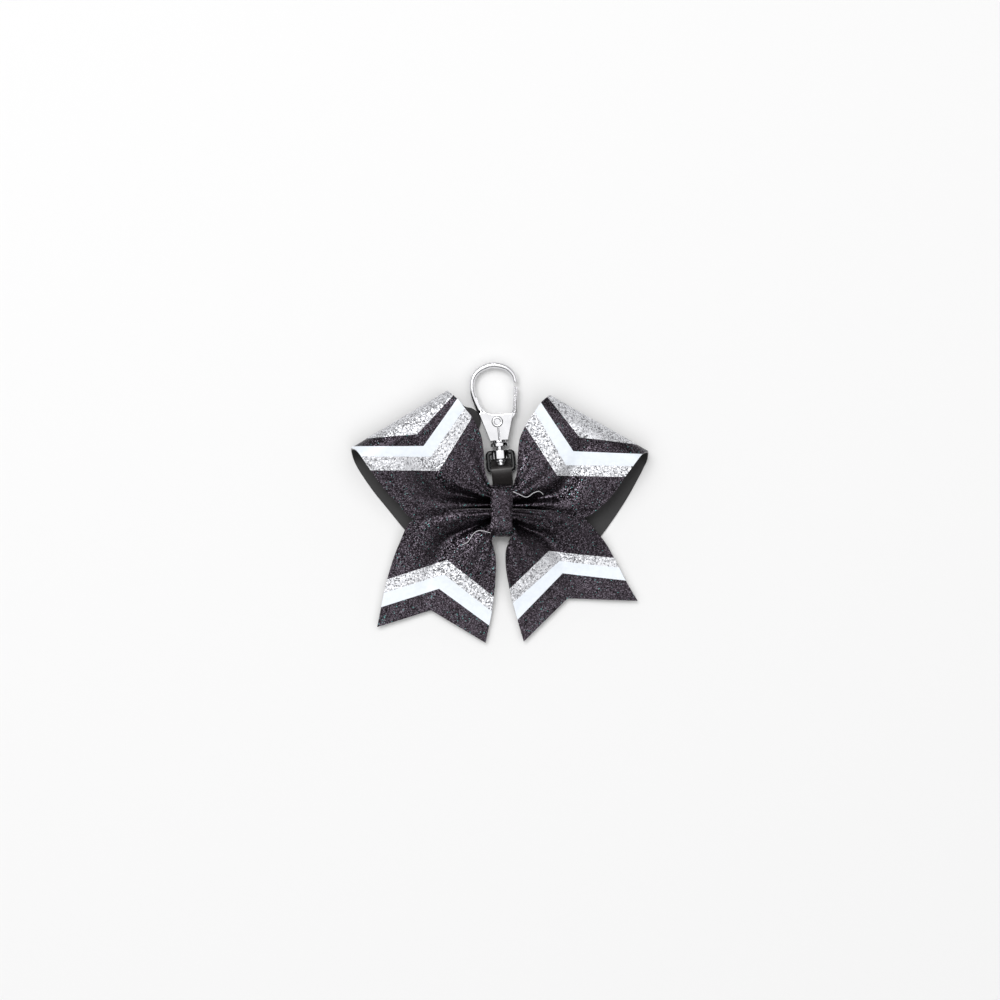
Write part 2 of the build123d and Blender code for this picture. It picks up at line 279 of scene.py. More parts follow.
def glitter(name, stops, flake, tilt, metallic, roughness, gloss):
    """Flakes of one size, each with its own grey and its own tilt."""
    made, shader, tree = material(name, metallic=metallic, roughness=roughness)
    shader.inputs["Specular IOR Level"].default_value = gloss
    place = add(tree, "ShaderNodeTexCoord")
    cells = add(tree, "ShaderNodeTexVoronoi")
    cells.inputs["Scale"].default_value = 1 / (flake * mm)
    tree.links.new(place.outputs["Object"], cells.inputs["Vector"])
    split = add(tree, "ShaderNodeSeparateColor")
    tree.links.new(cells.outputs["Color"], split.inputs["Color"])
    tree.links.new(ramp(tree, split.outputs["Red"], stops), shader.inputs["Base Color"])
    # Each flake leans its own way
    lean = add(tree, "ShaderNodeVectorMath", operation="MULTIPLY_ADD")
    lean.inputs[1].default_value = (2 * tilt, 2 * tilt, 2 * tilt)
    lean.inputs[2].default_value = (-tilt, -tilt, -tilt)
    tree.links.new(cells.outputs["Color"], lean.inputs[0])
    surface = add(tree, "ShaderNodeNewGeometry")
    both = add(tree, "ShaderNodeVectorMath", operation="ADD")
    tree.links.new(lean.outputs[0], both.inputs[0])
    tree.links.new(surface.outputs["Normal"], both.inputs[1])
    unit = add(tree, "ShaderNodeVectorMath", operation="NORMALIZE")
    tree.links.new(both.outputs[0], unit.inputs[0])
    tree.links.new(unit.outputs[0], shader.inputs["Normal"])
    return made


black_glitter = glitter(
    "black_glitter",
    [(0.0, (0.008, 0.007, 0.008)), (0.5, (0.022, 0.018, 0.022)), (0.75, (0.07, 0.058, 0.072)),
     (0.93, (0.17, 0.145, 0.175)), (0.985, (0.2, 0.19, 0.22)), (1.0, (0.12, 0.4, 0.38))],
    flake=0.27, tilt=0.3, metallic=1.0, roughness=0.35, gloss=0.5,
)
silver_glitter = glitter(
    "silver_glitter",
    [(0.0, (0.1, 0.1, 0.11)), (0.25, (0.4, 0.4, 0.42)), (0.6, (0.72, 0.73, 0.76)), (1.0, (0.95, 0.96, 1.0))],
    flake=0.34, tilt=0.35, metallic=0.6, roughness=0.35, gloss=0.5,
)
def worked(name, dark, light, scale, stretch=(1, 1, 1), metallic=0.0, roughness=(0.3, 0.5), relief=0.0):
    """A surface whose colour, gloss and relief vary with a fine grain, stretched along its threads."""
    made, shader, tree = material(name, metallic=metallic)
    place = add(tree, "ShaderNodeTexCoord")
    drawn = add(tree, "ShaderNodeMapping")
    drawn.inputs["Scale"].default_value = stretch
    tree.links.new(place.outputs["Object"], drawn.inputs["Vector"])
    grain = add(tree, "ShaderNodeTexNoise")
    grain.inputs["Scale"].default_value = 1 / (scale * mm)
    grain.inputs["Detail"].default_value = 3.0
    tree.links.new(drawn.outputs["Vector"], grain.inputs["Vector"])
    tree.links.new(ramp(tree, grain.outputs["Fac"], [(0.3, dark), (0.7, light)]), shader.inputs["Base Color"])
    gloss = ramp(tree, grain.outputs["Fac"], [(0.3, roughness[0]), (0.7, roughness[1])])
    tree.links.new(gloss, shader.inputs["Roughness"])
    if relief:
        bump = add(tree, "ShaderNodeBump")
        bump.inputs["Strength"].default_value = 0.4
        bump.inputs["Distance"].default_value = relief * mm
        tree.links.new(grain.outputs["Fac"], bump.inputs["Height"])
        tree.links.new(bump.outputs["Normal"], shader.inputs["Normal"])
    return made


white_film = worked("white_stripe", (0.79, 0.84, 0.91), (0.85, 0.9, 0.96), 1.5,
                    roughness=(0.3, 0.42), relief=0.03)
black_backing = worked("black_backing", (0.006, 0.006, 0.006), (0.016, 0.014, 0.016), 0.35, (1, 3, 1),
                       roughness=(0.5, 0.65), relief=0.04)
cut_edge = worked("cut_edge", (0.2, 0.19, 0.2), (0.38, 0.37, 0.38), 0.3, roughness=(0.5, 0.7))
black_satin = worked("black_satin", (0.022, 0.02, 0.02), (0.036, 0.032, 0.032), 0.25, (4, 1, 4),
                     roughness=(0.34, 0.46), relief=0.03)
thread_white = worked("thread", (0.5, 0.5, 0.52), (0.68, 0.68, 0.7), 0.15, roughness=(0.35, 0.5), relief=0.02)
chrome = worked("chrome", (0.7, 0.7, 0.72), (0.79, 0.79, 0.81), 4.0, metallic=1.0, roughness=(0.05, 0.12))
# Near-black metal for the eye's wire frame: painted shade and dark reflection, standing in for shaded chrome
black_metal = worked("black_metal", (0.009, 0.009, 0.01), (0.016, 0.016, 0.017), 0.8, roughness=(0.25, 0.38))
spring_steel = worked("spring_steel", (0.42, 0.42, 0.42), (0.55, 0.55, 0.55), 0.3, metallic=1.0,
                      roughness=(0.25, 0.35))


# ---- The ribbon ----


def offset_from(plan, heading, start):
    """How far plan points are along a heading from a start point."""
    direction = np.array([cos(heading), sin(heading)])
    return (plan - np.array(start)) @ direction


def loop_grid(side, columns=72):
    """The middle surface of one loop: rows run from the knot over the fold and back to the knot."""
    plan = loop_plan[side]
    front = [along(plan["front_low"], 300), along(plan["front_top"], 300)]
    back = [along(plan["back_low"], 300), along(plan["back_top"], 300)]
    heading = loop_heading[side]
    fold_angles = np.linspace(-front_slope, pi, fold_rows)
    strips = []
    for v in np.linspace(0, 1, columns):
        out = front[0] * (1 - v) + front[1] * v
        home = back[0] * (1 - v) + back[1] * v
        out_run = offset_from(out, heading, (bow_middle, 0))
        home_run = offset_from(home, heading, (bow_middle, 0))
        reach = out_run.max()
        centre = reach - fold_radius
        tangent = centre - fold_radius * sin(front_slope)
        rise = fold_height + fold_radius * cos(front_slope)
        flat_front = respaced(out[out_run < tangent], front_rows)
        front_run = offset_from(flat_front, heading, (bow_middle, 0))
        front_z = rise - (tangent - front_run) * np.tan(front_slope)
        rows = [np.column_stack([flat_front, front_z])]
        for angle in fold_angles[1:-1]:
            run = centre + fold_radius * sin(angle)
            source, source_run = (out, out_run) if angle < pi / 2 else (home, home_run)
            x = np.interp(run, source_run, source[:, 0])
            y = np.interp(run, source_run, source[:, 1])
            rows.append([[x, y, fold_height + fold_radius * cos(angle)]])
        flat_back = respaced(home[home_run < centre][::-1], back_rows)
        rows.append(np.column_stack([flat_back, np.full(back_rows, fold_height - fold_radius)]))
        strips.append(np.vstack(rows))
    return np.stack(strips, axis=1)


# The selvedges of each panel in plan, from the knot outwards
loop_plan = {
    "left": {
        "front_low": [(0.5, -1.6), (-2.7, -2.0), (-16, -3.8), (-27.6, -5.4), (-33.3, 0), (-37.6, 4.6),
                      (-41.9, 10.6), (-46, 16.4), (-48.3, 17.6)],
        "front_top": [(0.5, 5.0), (-2.7, 5.8), (-4.4, 11), (-4.8, 16.5), (-5.6, 22.1), (-8.3, 27.4),
                      (-10.8, 30.7), (-13.5, 34), (-16.6, 36.4)],
        "back_low": [(0.5, -8), (-2.7, -9), (-16, -12.5), (-27, -12.5), (-30.4, -9.8), (-36.6, -2.3),
                     (-41.9, 4.3), (-46.9, 11.9), (-48.4, 16.2), (-48.3, 17.6)],
        "back_top": [(0.5, 4), (-2.3, 4.5), (-3.4, 7.5), (-4.5, 10), (-4.7, 14), (-4.9, 17.6), (-6.4, 19.6),
                     (-7, 22), (-5.8, 26), (-6.4, 29.2), (-8.4, 31), (-11.5, 32), (-16.6, 36.4)],
    },
    "right": {
        "front_low": [(1.9, -1.6), (5.1, -2.0), (17, -2.9), (27.4, -5.2), (33.3, -2), (38.1, 3),
                      (41.6, 8.05), (46.9, 15.2), (49.4, 16.6)],
        "front_top": [(1.9, 5.0), (5.1, 5.8), (6.2, 10), (6.5, 15), (7.1, 20.5), (9.1, 25.2), (11.9, 29.4),
                      (14.2, 32.7), (16.9, 35)],
        "back_low": [(1.9, -8), (6, -9), (18, -13), (31, -13.5), (34, -11.5), (42.2, 0.3), (48.6, 12),
                     (49.6, 15.4), (49.4, 16.6)],
        "back_top": [(1.9, 4), (4.7, 4.5), (5.6, 7.5), (6.6, 10), (6.7, 14), (6.6, 16.4), (6.9, 17.2),
                     (7.8, 17.9), (8.6, 21), (10.5, 26), (16.9, 35)],
    },
}
tail_plan = {
    "left": {
        "low": [(0.5, -11), (-1.8, -11.8), (-1.4, -15), (-0.7, -19), (-0.8, -25), (-1.3, -30.7),
                (-2.1, -36.6), (-4.1, -46.6)],
        "top": [(0.5, -2.6), (-2.6, -2.3), (-15, -2.6), (-27.6, -5.6), (-32.7, -13.9), (-36.6, -25.3),
                (-40, -41.4)],
        "notch": (-22.2, -35.8),
    },
    "right": {
        "low": [(1.9, -11), (4.6, -11.6), (3.2, -14), (2.5, -17.2), (2.7, -22.4), (4.1, -30),
                (5.8, -36.6), (8.5, -46.2)],
        "top": [(1.9, -2.6), (5.2, -2.3), (16, -2.8), (25.7, -3.5), (34, -11.5), (38.4, -18.5),
                (42.2, -25.9), (46.2, -32.7)],
        "notch": (23, -31.9),
    },
}


def tail_grid(side, columns=72, rows=110):
    """The middle surface of one tail, from the knot to its swallowtail end."""
    plan = tail_plan[side]
    low = along(plan["low"], 300)
    top = along(plan["top"], 300)
    heading = tail_heading[side]
    bend_start = tail_bend_at - tail_bend * sin(tail_slope)
    bend_z = tail_level + tail_bend * (1 - cos(tail_slope))
    strips = []
    for v in np.linspace(0, 1, columns):
        line = low * (1 - v) + top * v
        # The straight cut of the swallowtail: each strip ends on the line from a corner to the notch
        corner = low[-1] if v < 0.5 else top[-1]
        share = 2 * min(v, 1 - v)
        end = corner * (1 - share) + np.array(plan["notch"]) * share
        stretch = np.linspace(0, 1, 300)[:, None] ** 2
        line = respaced(line + (end - line[-1]) * stretch, rows)
        run = offset_from(line, heading, (knot_x, knot_y))
        sloping = bend_z + (bend_start - run) * np.tan(tail_slope)
        before = np.clip(tail_bend_at - run, 0, None)
        bending = tail_level + tail_bend - np.sqrt(np.maximum(tail_bend**2 - before**2, 0))
        z = np.where(run < bend_start, sloping, bending)
        strips.append(np.column_stack([line, z]))
    return np.stack(strips, axis=1)


def across_and_away(grid, knot):
    """Each point's place across the ribbon, and its distance from the knot."""
    v = np.linspace(0, 1, grid.shape[1])[None, :]
    return v, np.hypot(grid[:, :, 0] - knot[0], grid[:, :, 1] - knot[1])


def crease(grid, knot, folds, reach):
    """Raise and lower a panel by its pleats, which fade with the distance from the knot."""
    v, away = across_and_away(grid, knot)
    for centre, width, height, drift in folds:
        middle = centre + drift * np.clip(away / 30, 0, 1)
        wave = height * np.exp(-(((v - middle) / width) ** 2))
        grid[:, :, 2] += wave * np.exp(-((away / reach) ** 2))


def gather(grid, knot, depth, lift):
    """Fine folds that run out of the knot and fade as the panel opens."""
    v, away = across_and_away(grid, knot)
    grid[:, :, 2] += depth * (lift + np.cos(2 * pi * 6 * v)) * np.exp(-((away / 17) ** 2))


# Pleats: place across the ribbon, width, height and drift of the place away from the knot
loop_pleats = {
    "left": [(0.35, 0.1, -3.6, 0.02), (0.0, 0.08, -2.0, 0.0), (0.72, 0.2, 0.8, 0.0)],
    "right": [(0.24, 0.1, -3.6, 0.22), (0.0, 0.08, -2.0, 0.0), (0.72, 0.2, 0.8, 0.0)],
}
tail_pleats = {
    "left": [(0.58, 0.1, -3.4, 0.03), (0.82, 0.1, 0.7, 0.0), (0.3, 0.15, 0.4, 0.0)],
    "right": [(0.52, 0.1, -3.4, 0.12), (0.82, 0.1, 0.7, 0.06), (0.25, 0.15, 0.4, 0.0)],
}
panels = {}
for side in ("left", "right"):
    loop = loop_grid(side)
    mouth = (mouth_x[side], mouth_y["loop"])
    crease(loop[:front_rows], mouth, loop_pleats[side], 24)
    gather(loop[:front_rows], mouth, 0.2, 0)
    gather(loop[-back_rows:], mouth, 0.5, 1)  # only raised, because the back panel lies on the table
    tail = tail_grid(side)
    mouth = (mouth_x[side], mouth_y["tail"])
    crease(tail, mouth, tail_pleats[side], 22)
    gather(tail, mouth, 0.22, 0)
    panels[side, "loop"] = loop
    panels[side, "tail"] = tail

ribbon_materials = [black_glitter, black_backing, cut_edge]
replaced_by = {"loop": ("loop_front", "loop_back"), "tail": ("tail",)}
for (side, kind), grid in panels.items():
    # The glitter is on the side that the grid's normals point to, and that is up
    if normals_of(grid)[5, 30, 2] < 0:
        grid = grid[:, ::-1]
    piece = shell(f"{side}_{kind}_ribbon", grid, -ribbon_wall / 2, ribbon_wall / 2, ribbon_materials)
    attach(piece, "bow")
    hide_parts(*[f"{side}_{part}" for part in replaced_by[kind]])
    panels[side, kind] = grid


# ---- Stripes: each lies between two V lines, whose points run from one selvedge to the other ----

loop_lines = {
    "left": [
        [(-42.9, 20.8), (-26.5, 22.2), (-14.5, 35)],
        [(-46.9, 18.2), (-24.4, 18.4), (-13.2, 34)],
        [(-44.9, 14.9), (-22.1, 14.9), (-10.9, 30.7)],
        [(-42, 10.4), (-19.3, 10.3), (-9, 26.9)],
    ],
    "right": [
        [(47.5, 18.6), (26.7, 21.2), (16.5, 34.1)],
        [(46.9, 15.7), (24.7, 16.7), (14.2, 32.3)],
        [(44.6, 11.8), (22.3, 12.1), (11.9, 30)],
        [(41.5, 8.25), (19.4, 8.7), (9.1, 24.6)],
    ],
}
tail_lines = {
    "left": [
        [(-36.6, -25.6), (-16.8, -19.1), (-1.2, -31.4)],
        [(-37.6, -30), (-17.8, -23.9), (-2, -36.3)],
        [(-39.3, -35), (-19.5, -28.7), (-3, -40.8)],
    ],
    "right": [
        [(4.1, -28.4), (16.7, -16.2), (38.4, -18.5)],
        [(5, -33.3), (20.3, -19.5), (40.5, -21.8)],
        [(6.5, -38.9), (21.3, -23.6), (42.5, -26)],
    ],
}


def arms(line):
    """The two arms of a V line, each as a point on it and its normal, which points outwards."""
    start, tip, end = (np.array(p, float) for p in line)
    found = []
    for far, other in ((start, end), (end, start)):
        across = np.array([-(far - tip)[1], (far - tip)[0]])
        across /= np.linalg.norm(across)
        if across @ (other - tip) < 0:
            across = -across
        found.append((tip, across))
    return found


def outside(line, point):
    """True where a plan point is on the outer side of both arms."""
    return all((point - tip) @ across > 0 for tip, across in arms(line))


def stripe(name, grid, rows, inner, outer, finish, node):
    """A thin film on the first rows of the ribbon's outer face, between two V lines."""
    part = grid[:rows]
    lifted = (part + normals_of(grid)[:rows] * (ribbon_wall / 2 - sink)) * mm
    bm = bmesh.new()
    points = [[bm.verts.new(p) for p in row] for row in lifted]
    for r in range(len(points) - 1):
        for c in range(len(points[0]) - 1):
            bm.faces.new((points[r][c], points[r + 1][c], points[r + 1][c + 1], points[r][c + 1]))
    for line in (inner, outer):
        if line is None:
            continue
        for tip, across in arms(line):
            bmesh.ops.bisect_plane(
                bm, geom=bm.verts[:] + bm.edges[:] + bm.faces[:], dist=1e-7,
                plane_co=(tip[0] * mm, tip[1] * mm, 0), plane_no=(across[0], across[1], 0),
            )
    gone = []
    for face in bm.faces:
        middle = np.array(face.calc_center_median()[:2]) / mm
        if not outside(inner, middle) or (outer is not None and outside(outer, middle)):
            gone.append(face)
    bmesh.ops.delete(bm, geom=gone, context="FACES")
    bm.normal_update()
    mesh = bpy.data.meshes.new(name)
    bm.to_mesh(mesh)
    bm.free()
    piece = new_object(name, mesh, [finish])
    thick = piece.modifiers.new("film", "SOLIDIFY")
    thick.thickness = (film + sink) * mm
    thick.offset = 1
    apply_modifiers(piece)
    smooth(piece.data, 50)
    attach(piece, "bow")
    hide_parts(node)
    return piece


def apply_modifiers(piece):
    """Replace a piece's mesh with the result of its modifiers."""
    result = bpy.data.meshes.new_from_object(piece.evaluated_get(bpy.context.evaluated_depsgraph_get()))
    piece.modifiers.clear()
    piece.data = result


over_fold = front_rows + fold_rows // 2  # the stripes of a loop end halfway round its fold
for side in ("left", "right"):
    loop = panels[side, "loop"]
    lines = loop_lines[side]
    stripe(f"{side}_loop_cap_film", loop, over_fold, lines[0], None, silver_glitter,
               f"{side}_loop_silver_cap")
    stripe(f"{side}_loop_white_film", loop, over_fold, lines[2], lines[1], white_film,
               f"{side}_loop_white_stripe")
    stripe(f"{side}_loop_silver_film", loop, over_fold, lines[3], lines[2], silver_glitter,
               f"{side}_loop_silver_stripe")
    tail = panels[side, "tail"]
    lines = tail_lines[side]
    stripe(f"{side}_tail_silver_film", tail, None, lines[0], lines[1], silver_glitter,
               f"{side}_tail_silver_stripe")
    stripe(f"{side}_tail_white_film", tail, None, lines[1], lines[2], white_film,
               f"{side}_tail_white_stripe")


# ---- Round and turned shapes ----


def strip_mesh(name, rings, materials):
    """A closed tube through rings of points, with a cap on each end."""
    bm = bmesh.new()
    loops_of_verts = [[bm.verts.new(Vector(p) * mm) for p in ring] for ring in rings]
    count = len(rings[0])
    for a, b in zip(loops_of_verts, loops_of_verts[1:]):
        for i in range(count):
            j = (i + 1) % count
            bm.faces.new((a[i], a[j], b[j], b[i]))
    bm.faces.new(list(reversed(loops_of_verts[0])))
    bm.faces.new(loops_of_verts[-1])
    bmesh.ops.recalc_face_normals(bm, faces=bm.faces[:])
    mesh = bpy.data.meshes.new(name)
    bm.to_mesh(mesh)
    bm.free()
    smooth(mesh, 40)
    return new_object(name, mesh, materials)


# ---- The knot: a band of the ribbon round the gathers ----


def knot_outline(inset, count, turns=1.0):
    """Points round the end view of the knot, as Y and Z values, from the middle of its back."""
    length, height, corner = knot_length - 2 * inset, knot_height - 2 * inset, knot_corner - inset
    flat, side = length / 2 - corner, height / 2 - corner
    line = [(0, -height / 2), (flat, -height / 2)]
    for x, z, first in ((flat, -side, -90), (flat, side, 0), (-flat, side, 90), (-flat, -side, 180)):
        for angle in range(first, first + 91, 10):
            line.append((x + corner * cos(radians(angle)), z + corner * sin(radians(angle))))
    line.append((0, -height / 2))
    around = respaced(np.array(line), 400)
    places = np.linspace(0, turns, count) * 399 % 399
    y = np.interp(places, np.arange(400), around[:, 0])
    z = np.interp(places, np.arange(400), around[:, 1])
    return y + knot_y, z + knot_z


def knot_grid(columns=30, rows=200):
    """The band once round the knot and a little more, so that its end covers its start."""
    turns = 1.16
    y, z = knot_outline(0.3, rows, turns)
    inner_y, inner_z = knot_outline(0.95, rows, turns)
    tuck = np.clip(1 - np.linspace(0, turns, rows) / 0.22, 0, 1)
    tuck = tuck * tuck * (3 - 2 * tuck)
    y = y * (1 - tuck) + inner_y * tuck
    z = z * (1 - tuck) + inner_z * tuck
    grid = []
    for b in np.linspace(-1, 1, columns):
        # The band draws in a little at its middle, and its edges curl towards the gathers
        half = 3.55 - 0.2 * np.exp(-(((y + 4.5) / 3.5) ** 2))
        x = knot_x + b * half
        curl = 0.35 * abs(b) ** 6 + 0.05 * np.sin(9 * b + 0.6 * y)
        grid.append(np.column_stack([x, y + curl * (knot_y - y) / 8, z + curl * (knot_z - z) / 4.5]))
    return np.stack(grid, axis=1)


band = knot_grid()
if normals_of(band)[100, 15, 2] < 0:
    band = band[:, ::-1]
knot_band = shell("knot_band", band, -0.25, 0.25, ribbon_materials)
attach(knot_band, "bow")
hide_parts("knot_wrap")

# The gathers under the band, with a fold in each direction out of the knot
folds = 18
per_fold = 8
round_knot = folds * per_fold
rings = []
for x in np.linspace(-1.7, 4.1, 12):
    y, z = knot_outline(1.4, round_knot)
    wave = 0.22 * np.cos(np.arange(round_knot) / round_knot * 2 * pi * folds + 0.15 * x)
    y = y + (y - knot_y) * wave / 6
    z = z + (z - knot_z) * wave / 3
    rings.append([(x, b, c) for b, c in zip(y[:-1], z[:-1])])
gathers = strip_mesh("gathers", rings, [black_glitter])
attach(gathers, "bow")
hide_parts("gathered_centre")


# ---- Loose ends of the tie thread, lying on the ribbon ----


def height_at(x, y):
    """The height of the topmost ribbon under a plan point."""
    best = 0
    for grid in panels.values():
        gap = np.hypot(grid[..., 0] - x, grid[..., 1] - y)
        near = gap < 0.5
        if near.any():
            best = max(best, grid[..., 2][near].max())
    return best


def thread_end(name, points, node):
    """A thread on the ribbon, round, along a smooth line of plan points with heights above it."""
    plan = along([p[:2] for p in points], 60)
    lift = np.interp(np.linspace(0, 1, 60), np.linspace(0, 1, len(points)), [p[2] for p in points])
    z = np.array([height_at(x, y) + ribbon_wall / 2 + up for (x, y), up in zip(plan, lift)])
    z = np.convolve(np.pad(z, 4, mode="edge"), np.ones(9) / 9, mode="valid")
    line = np.column_stack([plan, z])
    radius = 0.12
    turn = np.arange(10) / 10 * 2 * pi
    rings = []
    for here, along_it in zip(line, np.gradient(line, axis=0)):
        side_way = np.cross(along_it, (0, 0, 1))
        side_way /= np.linalg.norm(side_way)
        up_way = np.cross(side_way, along_it)
        up_way /= np.linalg.norm(up_way)
        rings.append([here + radius * (side_way * cos(a) + up_way * sin(a)) for a in turn])
    piece = strip_mesh(name, rings, [thread_white])
    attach(piece, "bow")
    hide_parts(node)


thread_end(
    "loose_thread_right",
    [(4.9, 3.4, 0.15), (6.6, 2.7, 0.2), (9.4, 1.6, 0.5), (11.7, 3.0, 0.7), (13.6, 3.5, 0.5),
     (14.9, 2.5, 0.3)],
    "thread_end_right",
)
thread_end(
    "loose_thread_left",
    [(-2.3, -10.2, 0.15), (-3.3, -9.9, 0.2), (-6.2, -9.4, 0.4), (-8.1, -10.5, 0.4), (-9.9, -13.1, 0.3),
     (-11.9, -14.2, 0.2)],
    "thread_end_left",
)
refinish(nodes["tie_thread"].data, thread_white)


# ---- The clasp, built in its own frame and then put in place ----

clasp_frame = Matrix((
    (clasp_x.x, clasp_y.x, 0, clasp_origin.x),
    (clasp_x.y, clasp_y.y, 0, clasp_origin.y),
    (0, 0, 1, clasp_origin.z),
    (0, 0, 0, 1),
))


def in_clasp(piece, body, slot_name, *replaced):
    """Put a piece built in the clasp's own frame in its place, on its body."""
    piece.data.transform(clasp_frame)
    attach(piece, body)
    if replaced:
        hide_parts(*replaced)
    return piece


def turned(name, profile, axis, materials, middle=(0, 0, 0), sides=64):
    """A turned piece: its profile is (radius, place along the axis) pairs."""
    rings = []
    for radius, place in profile:
        ring = []
        for k in range(sides):
            a = 2 * pi * k / sides
            if axis == "y":
                ring.append((middle[0] + radius * cos(a), middle[1] + place, middle[2] + radius * sin(a)))
            else:
                ring.append((middle[0] + radius * cos(a), middle[1] + radius * sin(a), middle[2] + place))
        rings.append(ring)
    return strip_mesh(name, rings, materials)


def rounded(low, high, radius, edge):
    """The profile of a round bar from low to high with rounded edges."""
    bend = [(radius - edge + edge * sin(a), low + edge - edge * cos(a)) for a in np.linspace(0, pi / 2, 5)]
    return [(0.02, low)] + bend + [(r, high + low - y) for r, y in reversed(bend)] + [(0.02, high)]


def swept(name, line, half_width, half_thick, materials, power=2.0, sides=28):
    """A bar along a line in the plane of the clasp, with an oval section of changing width."""
    line = np.array(line)
    rings = []
    for here, forward, half in zip(line, np.gradient(line, axis=0), half_width):
        across = np.array([forward[1], -forward[0]])
        across /= np.linalg.norm(across)
        ring = []
        for k in range(sides):
            a = 2 * pi * k / sides
            c, s = cos(a), sin(a)
            out = np.sign(c) * abs(c) ** (2 / power) * half
            up = np.sign(s) * abs(s) ** (2 / power) * half_thick
            ring.append((here[0] + across[0] * out, here[1] + across[1] * out, up))
        rings.append(ring)
    return strip_mesh(name, rings, materials)


def plate(name, outline, low, high, materials):
    """A flat plate with a given outline, between two heights."""
    rings = [[(x, y, z) for x, y in outline] for z in (low, high)]
    return strip_mesh(name, rings, materials)


def fuse(pieces, name, voxel, rounds, finish):
    """Fuse closed pieces into one smooth mesh of one material."""
    bpy.ops.object.select_all(action="DESELECT")
    for piece in pieces:
        piece.select_set(True)
    bpy.context.view_layer.objects.active = pieces[0]
    bpy.ops.object.join()
    whole = pieces[0]
    whole.name = name
    whole.data.name = name
    melt = whole.modifiers.new("melt", "REMESH")
    melt.mode = "VOXEL"
    melt.voxel_size = voxel * mm
    melt.use_smooth_shade = True
    soften = whole.modifiers.new("soften", "SMOOTH")
    soften.factor = 0.5
    soften.iterations = rounds
    apply_modifiers(whole)
    refinish(whole.data, finish)
    return whole


def cut_off(piece, near, point, outward):
    """Cut a piece by an upright plane where its vertices are near, and close the cut."""
    bm = bmesh.new()
    bm.from_mesh(piece.data)
    chosen = {v for v in bm.verts if near(v.co)}
    geometry = [v for v in bm.verts if v in chosen]
    geometry += [e for e in bm.edges if any(v in chosen for v in e.verts)]
    geometry += [f for f in bm.faces if any(v in chosen for v in f.verts)]
    cut = bmesh.ops.bisect_plane(
        bm, geom=geometry, dist=1e-7, plane_co=Vector((*point, 0)) * mm, plane_no=outward, clear_outer=True
    )
    bmesh.ops.holes_fill(bm, edges=[e for e in cut["geom_cut"] if isinstance(e, bmesh.types.BMEdge)])
    bm.to_mesh(piece.data)
    bm.free()
    smooth(piece.data, 50)


# The hook: a round wire that grows out of a shield, and a collar
ring_line = along([(7.15, 28.4), (6.6, 31.0), (4.3, 33.5), (0, 34.75), (-4.3, 33.5), (-6.7, 31),
                   (-7.35, 27.6), (-6.95, 24.6), (-5.7, 21.0), (-4.2, 17.5), (-2.9, 13.5)], 120)
ring_half = np.interp(np.linspace(0, 1, 120), [0, 0.1, 0.25, 0.4, 0.55, 0.75, 0.88, 1],
                      [0.82, 0.88, 1.05, 0.95, 0.82, 1.0, 1.25, 1.2])
ring = swept("ring", ring_line, ring_half, 1.5, [chrome], power=2.3)
shield_left = along([(-2.95, 9.75), (-3.6, 12), (-4.8, 16), (-6.3, 20.4), (-7.3, 24.4)], 20)
shield_inside = along([(-5.9, 24.6), (-5.2, 21.9), (-3.4, 19.4), (-1.2, 18.4), (0.9, 18.25),
                       (5.25, 18.25)], 24)
shield = [tuple(p) for p in shield_left] + [tuple(p) for p in shield_inside] + [(5.2, 17.4), (3.1, 9.75)]
root = [(-2.95, 9.75), (-4.9, 16), (-5.6, 18.4), (-5.2, 20.2), (-3.9, 18.6), (-3.3, 17.2), (-3.3, 12.7),
        (3.75, 12.7), (3.1, 9.75)]
lower_shield = [p for p in shield if p[1] < 19.5]
hook = fuse(
    [
        ring,
        plate("cheek_top", lower_shield, 0.95, 2.25, [chrome]),
        plate("cheek_back", lower_shield, -2.25, -0.95, [chrome]),
        plate("web", shield, -1.35, -0.95, [chrome]),
        plate("web_top", shield, 0.95, 1.35, [chrome]),
        plate("root", root, -2.25, 2.25, [chrome]),
        turned("collar", rounded(7.6, 8.95, 2.95, 0.25), "y", [chrome]),
        turned("neck", rounded(8.7, 10.4, 2.3, 0.05), "y", [chrome]),
    ],
    "hook_shell", 0.13, 5, chrome,
)
# The seam that runs from the rivet down the face of the shield
for vertex in hook.data.vertices:
    x, y, z = (c / mm for c in vertex.co)
    if z > 1.4 and 9.6 < y < 14.6:
        vertex.co.z -= 0.3 * mm * np.exp(-(((x - 0.15) / 0.2) ** 2))
# The tip is cut on a slant, beside the gate
tip_low = gate_top + 1.26
slant = Vector((9.5 - 5.2, gate_top - 2.26 - tip_low, 0)).normalized()
below_cut = Vector((slant.y, -slant.x, 0))
cut_off(hook, lambda co: co.x > 4 * mm and co.y > 22 * mm, (5.2, tip_low), below_cut)
in_clasp(hook, "hook", "chrome", "hook_body")

# The gate: a bar that closes the ring, and its plate inside the slot
gate_route = [(5.95, 18.5), (6.5, 22.5), (7.1, 26.95)]
gate_bar = swept("gate_bar", along(gate_route, 30), [0.72] * 30, 1.3, [chrome], power=2.6)
gate_outline = [(0, 13.4), (2.4, 14.3), (5.0, 16.5), (6.6, 18.45), (6.75, 19.3), (5.35, 19.3), (4.9, 17.9),
                (0, 18.1), (-2.2, 17.4), (-2.7, 15.9), (-1.9, 14)]
gate_plate = plate("gate_plate", gate_outline, -0.85, 0.85, [chrome])
gate = fuse([gate_bar, gate_plate], "gate_lever", 0.1, 3, chrome)
# A groove runs along both faces of the bar
for vertex in gate.data.vertices:
    x, y, z = (c / mm for c in vertex.co)
    if abs(z) > 0.9 and 18.8 < y < 27:
        middle = np.interp(y, [place[1] for place in gate_route], [place[0] for place in gate_route])
        vertex.co.z -= np.sign(z) * 0.25 * mm * np.exp(-(((x - middle) / 0.16) ** 2))
cut_off(gate, lambda co: True, (6.4, gate_top), -below_cut)
in_clasp(gate, "gate", "chrome", "gate")

